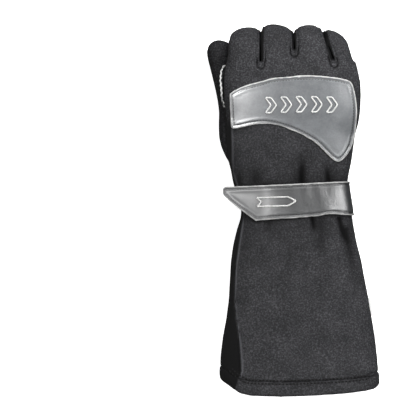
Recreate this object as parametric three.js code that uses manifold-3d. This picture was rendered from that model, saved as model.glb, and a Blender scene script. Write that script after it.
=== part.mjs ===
import * as THREE from "three";
import { mergeVertices } from "three/addons/utils/BufferGeometryUtils.js";
import Module from "manifold-3d";

const wasm = await Module();
wasm.setup();

// Right-hand racing glove lying palm down. Millimetres, X across, Y towards the fingers, Z up.
// The strap's middle line is y = 0 and the wrist's middle is x = 0 until the last step.

// Driving sizes

const HAND_LENGTH = 176;
const GAUNTLET_LENGTH = 196;
const KNUCKLE_WIDTH = 138;
const WRIST_WIDTH = 110;
const CUFF_WIDTH = 158;
const KNUCKLE_HEIGHT = 60;
const WRIST_HEIGHT = 43;
const CUFF_HEIGHT = 46;
const WALL = 3;
const SEAM_GAP = 0.3;
const FINGER_THICKNESS = 24.5;
const FINGERTIP_LENGTH = 26;
const SLIT_WIDTH = 1.1;
const GUSSET_WIDTH = 8;
const LEATHER = 1.8;
const STRAP_WIDTH = 33;
const STRAP_THICKNESS = 2.2;
const STRAP_OVERHANG = 74;
const HEM_DEPTH = 14;
const HEM_FOLD = 0.8;
const FOLD_DEPTH = 3.2;
const LABEL_WIDTH = 18.5;
const LABEL_REACH = 22;
const LABEL_THICKNESS = 1;

// Sides of the faceted sections

const BODY_SIDES = 40;
const LINING_SIDES = 22;
const FINGER_SIDES = 12;
const THUMB_SIDES = 14;
const FINE = 0.08;

// Colours

const KNIT = { color: "#26272a", roughness: 0.95, metalness: 0 };
const LEATHER_FACE = { color: "#54585c", roughness: 0.5, metalness: 0 };
const TAG = { color: "#f2f2f0", roughness: 0.8, metalness: 0 };

function table(columns, rows) {
  return rows.map((row) => Object.fromEntries(columns.map((column, index) => [column, row[index]])));
}

// Cross-sections of the hollow body: along is a share of the length of its zone, left and right
// of the zone's width, top and low of its height. Rise says how far the side seam on the thumb
// side climbs above the middle, as a share of the section's height.

const SECTION = ["along", "left", "right", "top", "low", "rise"];

const HAND = table(SECTION, [
  [0.784, 0.514, 0.428, 0.967, 0.55, 0],
  [0.716, 0.533, 0.449, 0.983, 0.517, 0],
  [0.648, 0.536, 0.464, 0.992, 0.45, 0.02],
  [0.58, 0.536, 0.464, 0.983, 0.36, 0.04],
  [0.511, 0.522, 0.46, 0.958, 0.25, 0.08],
  [0.443, 0.518, 0.449, 0.925, 0.13, 0.12],
  [0.364, 0.518, 0.42, 0.883, 0.044, 0.12],
  [0.284, 0.511, 0.406, 0.842, 0.044, 0.12],
  [0.216, 0.493, 0.395, 0.8, 0.044, 0.12],
  [0.159, 0.475, 0.38, 0.767, 0.05, 0.12],
]);

const WRIST = table(SECTION, [
  [0.545, 0.582, 0.459, 1.03, 0.1, 0.13],
  [0.242, 0.555, 0.468, 1.01, 0.116, 0.14],
  [0, 0.527, 0.482, 1, 0.12, 0.15],
  [-0.242, 0.505, 0.495, 1, 0.116, 0.16],
  [-0.545, 0.505, 0.502, 1.005, 0.1, 0.17],
]);

const GAUNTLET = table(SECTION, [
  [0.153, 0.377, 0.361, 0.957, 0.048, 0.2],
  [0.235, 0.402, 0.381, 0.978, 0.026, 0.22],
  [0.316, 0.416, 0.408, 0.991, 0.0175, 0.24],
  [0.408, 0.423, 0.428, 1, 0.0175, 0.24],
  [0.51, 0.429, 0.453, 1, 0.0175, 0.26],
  [0.612, 0.446, 0.475, 1, 0.0175, 0.33],
  [0.714, 0.47, 0.495, 1, 0.0175, 0.4],
  [0.806, 0.483, 0.508, 1, 0.0175, 0.42],
  [0.888, 0.485, 0.516, 1, 0.0175, 0.42],
  [0.959, 0.484, 0.521, 1, 0.0175, 0.4],
  [1.041, 0.481, 0.525, 1, 0.0175, 0.4],
]);

// Gathers that the strap pulls into the knit: across is a share of the wrist's width, reach and
// width are shares of the strap's width, depth of the deepest fold. Side 1 is towards the fingers.

const FOLDS = table(["across", "side", "reach", "width", "depth"], [
  [-0.37, 1, 0.75, 0.2, 0.6],
  [0.055, 1, 0.9, 0.18, 1],
  [0.28, 1, 0.65, 0.17, 0.8],
  [0.13, -1, 0.6, 0.18, 0.8],
  [0.37, -1, 0.6, 0.17, 0.7],
]);

// Curled fingers seen from above: sides at the root, at the bend and at the tip as shares of the
// knuckle width, front as a share of the hand's length, lean is the slope of the front, drop the
// share of the knuckle height that the finger lies lower.

const FINGERS = table(
  ["rootLeft", "rootRight", "frontLeft", "frontRight", "tipLeft", "tipRight", "front", "lean", "drop"],
  [
    [-0.521, -0.257, -0.493, -0.254, -0.449, -0.266, 0.981, 0.13, 0.02],
    [-0.275, -0.007, -0.261, -0.014, -0.253, -0.026, 0.997, -0.16, 0],
    [-0.029, 0.254, -0.029, 0.186, -0.013, 0.232, 0.996, 0.04, 0.005],
    [0.239, 0.447, 0.176, 0.369, 0.25, 0.41, 0.957, -0.45, 0.05],
  ],
);

// Slits between the fingers, from in front of the fingertips back to the crotch: across as shares
// of the knuckle width, along of the hand's length, open of the slit's width.

const POINT = ["across", "along", "open"];

const SLITS = [
  table(POINT, [[-0.257, 1.06, 0.8], [-0.259, 0.96, 0.8], [-0.262, 0.88, 1.2], [-0.264, 0.784, 2.2]]),
  table(POINT, [[-0.025, 1.06, 0.8], [-0.023, 0.96, 0.8], [-0.021, 0.91, 1.2], [-0.019, 0.852, 2.2]]),
  table(POINT, [[0.138, 1.06, 0.8], [0.178, 0.96, 0.8], [0.232, 0.864, 1.2], [0.264, 0.795, 2.2]]),
];

// Thumb beside the palm: along is a share of the hand's length, left and right of the knuckle
// width, top and low of the knuckle height.

const THUMB = table(["along", "left", "right", "top", "low"], [
  [0.903, -0.58, -0.551, 0.367, 0.233],
  [0.894, -0.615, -0.514, 0.433, 0.167],
  [0.875, -0.641, -0.489, 0.5, 0.1],
  [0.835, -0.654, -0.471, 0.542, 0.053],
  [0.784, -0.641, -0.464, 0.558, 0.042],
  [0.727, -0.621, -0.46, 0.567, 0.042],
  [0.67, -0.603, -0.453, 0.575, 0.042],
  [0.614, -0.586, -0.435, 0.583, 0.042],
  [0.557, -0.572, -0.406, 0.6, 0.042],
  [0.494, -0.561, -0.37, 0.617, 0.042],
  [0.426, -0.566, -0.341, 0.617, 0.042],
  [0.352, -0.564, -0.326, 0.617, 0.042],
  [0.295, -0.547, -0.326, 0.6, 0.058],
  [0.239, -0.514, -0.341, 0.567, 0.083],
  [0.182, -0.471, -0.362, 0.5, 0.133],
]);

// Where the thumb parts from the hand, as a share of the hand's length

const THUMB_FORK = 0.575;

// Outlines seen from above

const PATCH = [
  [-0.482, 0.591], [-0.384, 0.634], [-0.225, 0.665], [-0.188, 0.676], [-0.029, 0.688],
  [0.109, 0.693], [0.268, 0.682], [0.37, 0.665], [0.399, 0.636], [0.42, 0.557], [0.426, 0.486],
  [0.413, 0.375], [0.384, 0.29], [0.341, 0.239], [0.295, 0.216], [0.243, 0.244], [0.181, 0.295],
  [0.109, 0.341], [0, 0.386], [-0.104, 0.416], [-0.21, 0.433], [-0.312, 0.429], [-0.42, 0.409],
  [-0.467, 0.406], [-0.474, 0.455],
];

const STRAP = [
  [-0.655, 0.339], [-0.382, 0.376], [-0.095, 0.418], [0.24, 0.479], [0.491, 0.509],
  [0.68, 0.515], [0.68, -0.485], [0.523, -0.479], [0.391, -0.455], [0.273, -0.433],
  [0.182, -0.509], [-0.191, -0.588], [-0.373, -0.642], [-0.512, -0.303], [-0.651, 0.061],
  [-0.671, 0.182], [-0.669, 0.288],
];

const MOUTH = [
  [-0.6, 0.885], [-0.481, 0.921], [-0.443, 0.949], [-0.405, 0.973], [-0.361, 0.993],
  [-0.291, 1.003], [-0.101, 1.007], [0.051, 1.004], [0.19, 0.999], [0.304, 0.994],
  [0.437, 0.984], [0.487, 0.974], [0.519, 0.949], [0.62, 0.91],
];

// The palm leather's edge beside the thumb, seen from the side: along the hand and up

const LEATHER_SIDE = [
  [0.761, 0.52], [0.761, 0.66], [0.74, 0.75], [0.68, 0.79], [0.61, 0.78], [0.545, 0.72],
  [0.494, 0.57], [0.466, 0.4], [0.466, -0.2], [0.608, -0.2], [0.608, 0.36], [0.64, 0.46],
];

const LEATHER_PALM = [
  [-0.62, 0.608], [0.28, 0.608], [0.33, 0.57], [0.33, 0.28], [0.25, 0.227], [-0.42, 0.227],
  [-0.5, 0.3], [-0.62, 0.45],
];

// Solids

function toSolid(vertices, triangles) {
  let volume = 0;
  for (const [a, b, c] of triangles) {
    volume += vertices[a].dot(new THREE.Vector3().crossVectors(vertices[b], vertices[c]));
  }
  const wound = volume < 0 ? triangles.map(([a, b, c]) => [a, c, b]) : triangles;
  const vertProperties = new Float32Array(vertices.flatMap((vertex) => vertex.toArray()));
  const triVerts = new Uint32Array(wound.flat());
  return new wasm.Manifold(new wasm.Mesh({ numProp: 3, vertProperties, triVerts }));
}

// Skin over a row of sections with the same number of points. Flat gives the two coordinates
// that the ends are closed in.
function loft(rings, flat) {
  const count = rings[0].length;
  const vertices = rings.flat();
  const triangles = [];
  for (let row = 0; row + 1 < rings.length; row += 1) {
    for (let side = 0; side < count; side += 1) {
      const next = (side + 1) % count;
      const a = row * count + side;
      const b = row * count + next;
      const c = (row + 1) * count + next;
      const d = (row + 1) * count + side;
      if ((row + side) % 2 === 0) {
        triangles.push([a, b, c], [a, c, d]);
      } else {
        triangles.push([a, b, d], [b, c, d]);
      }
    }
  }
  for (const row of [0, rings.length - 1]) {
    const contour = rings[row].map((point) => new THREE.Vector2(...flat(point)));
    for (const [a, b, c] of THREE.ShapeUtils.triangulateShape(contour, [])) {
      const face = [row * count + a, row * count + b, row * count + c];
      triangles.push(row === 0 ? [face[0], face[2], face[1]] : face);
    }
  }
  return closed(vertices, triangles, count, rings.length);
}

// The ends must wind the same way as the sides.
function closed(vertices, triangles, count, rows) {
  const sides = 2 * count * (rows - 1);
  const edges = new Set(triangles.slice(0, sides).flatMap(([a, b, c]) => [`${a} ${b}`, `${b} ${c}`, `${c} ${a}`]));
  const ends = triangles.slice(sides);
  const perEnd = ends.length / 2;
  const fixed = [ends.slice(0, perEnd), ends.slice(perEnd)].map((cap) => {
    const clashes = cap.some(([a, b, c]) => edges.has(`${a} ${b}`) || edges.has(`${b} ${c}`) || edges.has(`${c} ${a}`));
    return clashes ? cap.map(([a, b, c]) => [a, c, b]) : cap;
  });
  return toSolid(vertices, [...triangles.slice(0, sides), ...fixed.flat()]);
}

function prism(points, placeLow, placeHigh, flat) {
  return loft([points.map(placeLow), points.map(placeHigh)], flat);
}

// Outline seen from above, from one height to another
function standing(points, low, high) {
  return prism(
    points,
    ([x, y]) => new THREE.Vector3(x, y, low),
    ([x, y]) => new THREE.Vector3(x, y, high),
    (point) => [point.x, point.y],
  );
}

// Outline seen from the side, from one x to another
function crossing(points, left, right) {
  return prism(
    points,
    ([y, z]) => new THREE.Vector3(left, y, z),
    ([y, z]) => new THREE.Vector3(right, y, z),
    (point) => [point.y, point.z],
  );
}

function join(solids) {
  return solids.reduce((whole, solid) => whole.add(solid));
}

// Points evenly spaced along a closed outline
function evenly(dense, count) {
  const lengths = [0];
  for (let index = 0; index < dense.length; index += 1) {
    const [ax, ay] = dense[index];
    const [bx, by] = dense[(index + 1) % dense.length];
    lengths.push(lengths[index] + Math.hypot(bx - ax, by - ay));
  }
  const whole = lengths[dense.length];
  const points = [];
  let index = 0;
  for (let step = 0; step < count; step += 1) {
    const target = (whole * step) / count;
    while (lengths[index + 1] < target) {
      index += 1;
    }
    const share = (target - lengths[index]) / (lengths[index + 1] - lengths[index] || 1);
    const [ax, ay] = dense[index];
    const [bx, by] = dense[(index + 1) % dense.length];
    points.push([ax + (bx - ax) * share, ay + (by - ay) * share]);
  }
  return points;
}

// Rounded section with its own roundness above and below its widest level, and a flat underside
function roundedSection(section, grow, count) {
  const { left, right, top, low, side, roundTop, roundLow, settle } = section;
  const middle = (left + right) / 2;
  const level = low + (top - low) * side;
  const grown = (half) => Math.max(half + grow, 0.25 * half);
  const halfWidth = grown((right - left) / 2);
  const above = grown(top - level);
  const below = grown((level - low) * settle);
  const dense = [];
  for (let step = 0; step < 240; step += 1) {
    const angle = (Math.PI * step) / 120;
    const across = Math.cos(angle);
    const up = Math.sin(angle);
    const power = 2 / (up >= 0 ? roundTop : roundLow);
    const x = middle + halfWidth * Math.sign(across) * Math.abs(across) ** power;
    const z = level + (up >= 0 ? above : below) * Math.sign(up) * Math.abs(up) ** power;
    dense.push([x, Math.max(z, low - grow)]);
  }
  return evenly(dense, count);
}

// Body sections in millimetres

function placed(row, sign, length, width, height) {
  return {
    y: sign * row.along * length,
    left: -row.left * width,
    right: row.right * width,
    top: row.top * height,
    low: row.low * height,
    rise: row.rise,
    side: 0.5,
    roundTop: 2.7,
    roundLow: 3,
    settle: 1.12,
  };
}

const bodyRows = [
  ...HAND.map((row) => placed(row, 1, HAND_LENGTH, KNUCKLE_WIDTH, KNUCKLE_HEIGHT)),
  ...WRIST.map((row) => placed(row, 1, STRAP_WIDTH, WRIST_WIDTH, WRIST_HEIGHT)),
  ...GAUNTLET.map((row) => placed(row, -1, GAUNTLET_LENGTH, CUFF_WIDTH, CUFF_HEIGHT)),
];

// Body section at any distance along, between the nearest two rows
function bodyAt(y) {
  const inside = Math.min(Math.max(y, bodyRows[bodyRows.length - 1].y), bodyRows[0].y);
  const index = Math.max(1, bodyRows.findIndex((row) => row.y <= inside));
  const before = bodyRows[index - 1];
  const after = bodyRows[index];
  const share = (before.y - inside) / (before.y - after.y);
  const mix = (name) => before[name] + (after[name] - before[name]) * share;
  return { left: mix("left"), right: mix("right"), top: mix("top"), low: mix("low"), rise: mix("rise") };
}

function foldAt(x, y) {
  return FOLDS.reduce((deep, fold) => {
    const off = (x - fold.across * WRIST_WIDTH) / (fold.width * STRAP_WIDTH);
    const away = fold.side * y - STRAP_WIDTH / 2;
    const fade = Math.max(0, 1 - Math.abs(away) / (fold.reach * STRAP_WIDTH));
    return deep + FOLD_DEPTH * fold.depth * Math.exp(-off * off) * fade;
  }, 0);
}

function bodyRing(row, grow, sides) {
  const level = row.low + (row.top - row.low) * row.side;
  return roundedSection(row, grow, sides).map(([x, z]) => {
    const weight = Math.max(0, (z - level) / (row.top - level));
    return new THREE.Vector3(x, row.y, z - foldAt(x, row.y) * weight);
  });
}

function body(grow) {
  const sides = grow < 0 ? LINING_SIDES : BODY_SIDES;
  const straight = HAND.length + WRIST.length + 2;
  const rows = bodyRows
    .map((row, index) => (index === 0 ? { ...row, y: row.y + grow } : row))
    .filter((row, index) => grow >= 0 || index < straight || (index - straight) % 2 === 0);
  return loft(rows.map((row) => bodyRing(row, grow, sides)), (point) => [point.x, point.z]);
}

// Fingers curl down and back under themselves, so that their tips point towards the wrist.

const fingerHalf = FINGER_THICKNESS / 2;
const BEND_STEPS = 5;

function fingerPath(finger) {
  const upper = KNUCKLE_HEIGHT * (1 - finger.drop) - fingerHalf;
  const lower = fingerHalf;
  const radius = (upper - lower) / 2;
  const bend = finger.front * HAND_LENGTH - fingerHalf - radius;
  return { upper, lower, radius, bend };
}

function fingerStations(finger) {
  const { upper, lower, radius, bend } = fingerPath(finger);
  const root = bodyRows[4].y;
  const stations = [
    { y: root, z: upper - 0.16 * KNUCKLE_HEIGHT, turn: 0, spread: 0, shrink: 0.9 },
    { y: (root * 2 + bend) / 3, z: upper - 0.06 * KNUCKLE_HEIGHT, turn: 0, spread: 0, shrink: 0.97 },
  ];
  for (let step = 0; step <= BEND_STEPS; step += 1) {
    const turn = (Math.PI * step) / BEND_STEPS;
    const y = bend + radius * Math.sin(turn);
    const z = lower + radius + radius * Math.cos(turn);
    const spread = 0.5 + step / BEND_STEPS;
    stations.push({ y, z, turn, spread, shrink: 1 });
  }
  const tip = bend - FINGERTIP_LENGTH;
  for (const [back, shrink] of [[0.35, 1], [0.1, 0.84], [0, 0.5]]) {
    stations.push({ y: tip + back * FINGERTIP_LENGTH, z: lower, turn: Math.PI, spread: 2, shrink });
  }
  return stations;
}

// Side of a finger on its way from the root (0) over the bend (1) to the tip (2)
function fingerSide(finger, name, spread) {
  const root = finger[`root${name}`];
  const front = finger[`front${name}`];
  const tip = finger[`tip${name}`];
  const share = spread < 1 ? root + (front - root) * spread : front + (tip - front) * (spread - 1);
  return share * KNUCKLE_WIDTH;
}

function fingerRing(finger, station, grow) {
  const left = fingerSide(finger, "Left", station.spread);
  const right = fingerSide(finger, "Right", station.spread);
  const middle = (left + right) / 2;
  const half = ((right - left) / 2) * station.shrink;
  const section = {
    left: middle - half,
    right: middle + half,
    top: fingerHalf * station.shrink,
    low: -fingerHalf * station.shrink,
    side: 0.5,
    roundTop: 2.4,
    roundLow: 2.4,
    settle: 1,
  };
  const lean = station.turn > 0 || station.spread > 0 ? finger.lean : 0;
  return roundedSection(section, grow, grow < 0 ? FINGER_SIDES - 4 : FINGER_SIDES).map(([x, up]) => new THREE.Vector3(
    x,
    station.y + up * Math.sin(station.turn) + lean * (x - middle),
    station.z + up * Math.cos(station.turn),
  ));
}

function fingers(grow) {
  return join(FINGERS.map((finger) => {
    const stations = fingerStations(finger);
    const moved = stations.map((station, index) => {
      const atEnd = index === 0 || index > stations.length - 3;
      return { ...station, y: station.y - (atEnd ? grow : 0) };
    });
    return loft(moved.map((station) => fingerRing(finger, station, grow)), (point) => [point.x, point.z]);
  }));
}

function thumb(grow) {
  const tip = THUMB[0].along * HAND_LENGTH;
  const root = THUMB[THUMB.length - 1].along * HAND_LENGTH;
  const rings = THUMB.map((row) => {
    const y = root + (row.along * HAND_LENGTH - root) * (1 + grow / (tip - root));
    const section = {
      left: row.left * KNUCKLE_WIDTH,
      right: row.right * KNUCKLE_WIDTH,
      top: row.top * KNUCKLE_HEIGHT,
      low: row.low * KNUCKLE_HEIGHT,
      side: 0.5,
      roundTop: 2.2,
      roundLow: 2.4,
      settle: 1,
    };
    return roundedSection(section, grow, grow < 0 ? THUMB_SIDES - 4 : THUMB_SIDES).map(([x, z]) => new THREE.Vector3(x, y, z));
  });
  return loft(rings, (point) => [point.x, point.z]);
}

// The side seams part the back from the palm: level with the middle of the body, then round the
// curl of the fingers and out past their tips.

function seamSection(x, finger, grow) {
  const { upper, lower, radius, bend } = fingerPath(finger);
  const heights = bodyRows.slice(4).reverse().map((row) => {
    const across = (row.right - x) / (row.right - row.left);
    const middle = row.low + (row.top - row.low) * (0.5 + row.rise * across);
    return [row.y, middle + grow];
  });
  const start = -1.25 * GAUNTLET_LENGTH;
  const points = [[start, heights[0][1]], ...heights, [(bodyRows[4].y * 2 + bend) / 3, upper - 3 + grow]];
  for (let step = 0; step <= BEND_STEPS; step += 1) {
    const turn = (Math.PI * step) / BEND_STEPS;
    const y = bend + (radius + grow) * Math.sin(turn);
    const z = lower + radius + (radius + grow) * Math.cos(turn);
    points.push([y, z]);
  }
  const past = bend - FINGERTIP_LENGTH - 3.2;
  points.push([past - grow, lower - grow], [past - 1.5 - grow, -10], [start, -10]);
  return points.map(([y, z]) => new THREE.Vector3(x, y, z));
}

function palmSide(grow) {
  const wide = KNUCKLE_WIDTH + CUFF_WIDTH;
  const between = SLITS.map((slit) => slit[3].across * KNUCKLE_WIDTH);
  const [index, middle, ring, little] = FINGERS;
  const halfway = (a, b) => ({ front: (a.front + b.front) / 2, drop: (a.drop + b.drop) / 2 });
  const tilt = (finger, x) => {
    const centre = ((finger.frontLeft + finger.frontRight) / 2) * KNUCKLE_WIDTH;
    return { ...finger, front: finger.front + (finger.lean * (x - centre)) / HAND_LENGTH };
  };
  const rightEdge = little.rootRight * KNUCKLE_WIDTH;
  const rings = [
    seamSection(-wide / 2, index, grow),
    seamSection(index.rootLeft * KNUCKLE_WIDTH, index, grow),
    seamSection(between[0], halfway(index, middle), grow),
    seamSection(between[1], halfway(middle, ring), grow),
    seamSection(between[2], halfway(ring, little), grow),
    seamSection(rightEdge, tilt(little, rightEdge), grow),
    seamSection(wide / 2, tilt(little, rightEdge), grow),
  ];
  return loft(rings, (point) => [point.y, point.z]);
}

// Slits and finger gussets, seen from above

function band(points, widths) {
  const leftSide = points.map(([x, y], index) => [x - widths[index] / 2, y]);
  const rightSide = points.map(([x, y], index) => [x + widths[index] / 2, y]);
  const [endX, endY] = points[points.length - 1];
  const reach = widths[widths.length - 1] / 2;
  const round = [];
  for (let step = 1; step < 6; step += 1) {
    const angle = Math.PI + (Math.PI * step) / 6;
    round.push([endX + reach * Math.cos(angle), endY + reach * Math.sin(angle)]);
  }
  return [...leftSide, ...round, ...rightSide.reverse()];
}

function slitPoints(slit) {
  return slit.map((point) => [point.across * KNUCKLE_WIDTH, point.along * HAND_LENGTH]);
}

const overhead = 1.5 * KNUCKLE_HEIGHT;

function slitCut(slit) {
  return standing(band(slitPoints(slit), slit.map((point) => point.open * SLIT_WIDTH)), -10, overhead);
}

function gussetRegion(slit, grow) {
  const widths = [0.86, 0.86, 0.95, 1.15].map((share) => share * GUSSET_WIDTH + 2 * grow);
  return standing(band(slitPoints(slit), widths), -10, overhead);
}

// Hand shell

const outer = body(0).add(fingers(0));
const inner = body(-WALL).add(fingers(-WALL));
const thumbRoot = standing(
  [
    [-KNUCKLE_WIDTH, THUMB_FORK * HAND_LENGTH],
    [0, THUMB_FORK * HAND_LENGTH],
    [0, 0.1 * HAND_LENGTH],
    [-KNUCKLE_WIDTH, 0.1 * HAND_LENGTH],
  ],
  -10,
  overhead,
);
const slits = join(SLITS.map(slitCut));
const shell = outer.subtract(inner).subtract(thumb(-WALL).intersect(thumbRoot)).subtract(slits);

// Mouth and hem

const mouth = MOUTH.map(([across, along]) => [across * CUFF_WIDTH, -along * GAUNTLET_LENGTH]);

function pastLine(shift) {
  const line = mouth.map(([x, y]) => [x, y + shift]);
  const far = -1.5 * GAUNTLET_LENGTH;
  return standing([...line, [line[line.length - 1][0], far], [line[0][0], far]], -10, overhead);
}

const hemBand = pastLine(HEM_DEPTH).subtract(pastLine(0));
const cuffHem = body(HEM_FOLD).subtract(body(-WALL - HEM_FOLD)).intersect(hemBand);
const hand = shell.subtract(pastLine(HEM_DEPTH + SEAM_GAP));

// Panels

const gussets = SLITS.map((slit) => hand.intersect(gussetRegion(slit, 0)));
const panels = hand.subtract(join(SLITS.map((slit) => gussetRegion(slit, SEAM_GAP))));
const backPanel = panels.subtract(palmSide(SEAM_GAP));
const palmPanel = panels.intersect(palmSide(0));

// Leather on the back and round the palm's edge

const patchOutline = PATCH.map(([across, along]) => [across * KNUCKLE_WIDTH, along * HAND_LENGTH]);
const overForm = body(SEAM_GAP).add(fingers(SEAM_GAP));
const leatherForm = body(SEAM_GAP + LEATHER).add(fingers(SEAM_GAP + LEATHER));
const knucklePatch = leatherForm
  .subtract(overForm)
  .intersect(standing(patchOutline, 0.55 * KNUCKLE_HEIGHT, overhead));

function leatherRegion() {
  const side = LEATHER_SIDE.map(([along, up]) => [along * HAND_LENGTH, up * KNUCKLE_HEIGHT]);
  const palm = LEATHER_PALM.map(([across, along]) => [across * KNUCKLE_WIDTH, along * HAND_LENGTH]);
  return crossing(side, -KNUCKLE_WIDTH, -0.47 * KNUCKLE_WIDTH)
    .add(standing(palm, -10, 0.46 * KNUCKLE_HEIGHT));
}

const palmLeather = leatherForm
  .subtract(overForm)
  .intersect(leatherRegion())
  .subtract(thumb(2 * SEAM_GAP).intersect(thumbRoot));

// Thumb, opening into the hand at its root

const thumbBesideHand = thumb(-WALL).subtract(body(SEAM_GAP + LEATHER + SEAM_GAP + WALL).subtract(thumbRoot));
const thumbClear = body(2 * SEAM_GAP + LEATHER).subtract(thumbRoot).add(body(SEAM_GAP)).add(fingers(2 * SEAM_GAP));
const thumbPanel = thumb(0).subtract(thumbBesideHand).subtract(thumbClear);

// Strap: follows the wrist, then leaves it in a straight line and stands free on the thumb side

function strapRing(row, grow) {
  const ring = bodyRing(row, grow, BODY_SIDES);
  const quarter = BODY_SIDES / 2;
  const leave = row.left + 0.14 * (row.right - row.left);
  const end = -STRAP_OVERHANG - grow - 4;
  const first = ring.findIndex((point) => point.x < leave);
  const from = ring[first - 1];
  const before = ring[first - 2];
  const slope = Math.min((before.z - from.z) / (before.x - from.x), 0.42);
  return ring.map((point, index) => {
    if (index < first) {
      return point;
    }
    if (index <= quarter) {
      const share = (index - first + 1) / (quarter - first + 1);
      const x = from.x + (end - from.x) * share;
      return new THREE.Vector3(x, point.y, from.z + slope * (x - from.x));
    }
    const scale = point.x < 0 ? end / ring[quarter].x : 1;
    return new THREE.Vector3(point.x * scale, point.y, point.z);
  });
}

function strapForm(grow) {
  const rows = bodyRows.filter((row) => Math.abs(row.y) < STRAP_WIDTH);
  return loft(rows.map((row) => strapRing(row, grow)), (point) => [point.x, point.z]);
}

const strapOutline = STRAP.map(([across, along]) => [across * WRIST_WIDTH, along * STRAP_WIDTH]);
const wristMiddle = bodyAt(0);
const strapUnderCut = standing(
  [
    [-2 * WRIST_WIDTH, -2 * STRAP_WIDTH],
    [-0.05 * WRIST_WIDTH, -2 * STRAP_WIDTH],
    [-0.05 * WRIST_WIDTH, 2 * STRAP_WIDTH],
    [-2 * WRIST_WIDTH, 2 * STRAP_WIDTH],
  ],
  -20,
  wristMiddle.low + 0.3 * (wristMiddle.top - wristMiddle.low),
);
const wristStrap = strapForm(SEAM_GAP + STRAP_THICKNESS)
  .subtract(strapForm(SEAM_GAP))
  .subtract(body(SEAM_GAP))
  .intersect(standing(strapOutline, -20, overhead))
  .subtract(strapUnderCut);

// Label standing out of the side seam

const labelAlong = -0.55 * GAUNTLET_LENGTH;
const labelBody = bodyAt(labelAlong);
const labelLevel = (labelBody.top + labelBody.low) / 2;
const labelNear = bodyAt(labelAlong + LABEL_WIDTH / 2).right + SEAM_GAP;
const labelFar = bodyAt(labelAlong - LABEL_WIDTH / 2).right + SEAM_GAP;
const sideLabel = standing(
  [
    [labelNear, labelAlong + LABEL_WIDTH / 2],
    [labelFar, labelAlong - LABEL_WIDTH / 2],
    [labelFar + LABEL_REACH, labelAlong - LABEL_WIDTH / 2],
    [labelNear + LABEL_REACH, labelAlong + LABEL_WIDTH / 2],
  ],
  labelLevel - LABEL_THICKNESS / 2,
  labelLevel + LABEL_THICKNESS / 2,
);

// Nodes

const group = new THREE.Group();
const pieces = [];

function addNode(name, solid, finish) {
  const parts = solid.simplify(FINE).decompose().sort((a, b) => b.volume() - a.volume());
  const mesh = parts[0].getMesh();
  const geometry = new THREE.BufferGeometry();
  const positions = new Float32Array(mesh.numVert * 3);
  for (let index = 0; index < mesh.numVert; index += 1) {
    positions.set(mesh.vertProperties.subarray(index * mesh.numProp, index * mesh.numProp + 3), index * 3);
  }
  geometry.setAttribute("position", new THREE.BufferAttribute(positions, 3));
  geometry.setIndex(new THREE.BufferAttribute(new Uint32Array(mesh.triVerts), 1));
  const welded = mergeVertices(geometry, 1e-4);
  welded.computeVertexNormals();
  const node = new THREE.Mesh(welded, new THREE.MeshStandardMaterial(finish));
  node.name = name;
  group.add(node);
  pieces.push({ name, parts });
}

addNode("back_panel", backPanel, KNIT);
addNode("palm_panel", palmPanel, KNIT);
addNode("fourchette_index_middle", gussets[0], KNIT);
addNode("fourchette_middle_ring", gussets[1], KNIT);
addNode("fourchette_ring_little", gussets[2], KNIT);
addNode("thumb_panel", thumbPanel, KNIT);
addNode("cuff_hem", cuffHem, KNIT);
addNode("knuckle_patch", knucklePatch, LEATHER_FACE);
addNode("wrist_strap", wristStrap, LEATHER_FACE);
addNode("palm_leather", palmLeather, LEATHER_FACE);
addNode("side_label", sideLabel, TAG);

// The middle of the bounding box goes to the origin, with the lowest point on the surface.

const box = new THREE.Box3().setFromObject(group);
const shift = new THREE.Vector3(-(box.min.x + box.max.x) / 2, -(box.min.y + box.max.y) / 2, -box.min.z);
for (const node of group.children) {
  node.geometry.translate(shift.x, shift.y, shift.z);
}

export default group;
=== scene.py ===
"""Drag racing glove: knit panels, leather patch, strap and palm piece, stitching and label.

The glove lies palm down on a white floor and is seen from straight above.
Lengths are in metres, in the same frame as the CAD nodes.
"""

import math
from functools import partial

import bmesh
import bpy
import numpy as np
from mathutils import Matrix, Vector
from mathutils.bvhtree import BVHTree
from mathutils.kdtree import KDTree


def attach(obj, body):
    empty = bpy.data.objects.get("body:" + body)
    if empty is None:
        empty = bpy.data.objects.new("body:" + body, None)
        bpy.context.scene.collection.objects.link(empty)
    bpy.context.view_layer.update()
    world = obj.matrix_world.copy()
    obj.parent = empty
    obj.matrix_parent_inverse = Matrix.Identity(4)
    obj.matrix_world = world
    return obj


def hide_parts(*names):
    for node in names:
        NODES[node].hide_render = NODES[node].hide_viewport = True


bl_info = {
    "name": "Drag racing glove",
    "version": (1, 0, 0),
    "blender": (4, 5, 0),
    "location": "View3D > Sidebar > Glove",
    "description": "Knit shell, leather pieces, stitching and label of one racing glove",
    "category": "Object",
}

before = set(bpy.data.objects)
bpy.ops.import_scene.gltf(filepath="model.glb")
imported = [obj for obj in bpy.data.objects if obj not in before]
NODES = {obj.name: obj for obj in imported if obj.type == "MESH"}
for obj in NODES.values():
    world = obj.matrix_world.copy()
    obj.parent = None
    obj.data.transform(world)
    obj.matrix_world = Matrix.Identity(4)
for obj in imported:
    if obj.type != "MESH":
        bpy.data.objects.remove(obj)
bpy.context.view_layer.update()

GUSSET_NODES = ["fourchette_index_middle", "fourchette_middle_ring", "fourchette_ring_little"]
KNIT_NODES = ["back_panel", "palm_panel", *GUSSET_NODES, "thumb_panel", "cuff_hem"]
LEATHER_NODES = ["knuckle_patch", "wrist_strap", "palm_leather"]

# Lengths along a piece are worked out in millimetres and stored in metres.
MM = 0.001
PER_METRE = 1000


# Values that a user would change


def length_property(name, description, default, **limits):
    return bpy.props.FloatProperty(
        name=name, description=description, default=default, unit="LENGTH", **limits
    )


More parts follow.
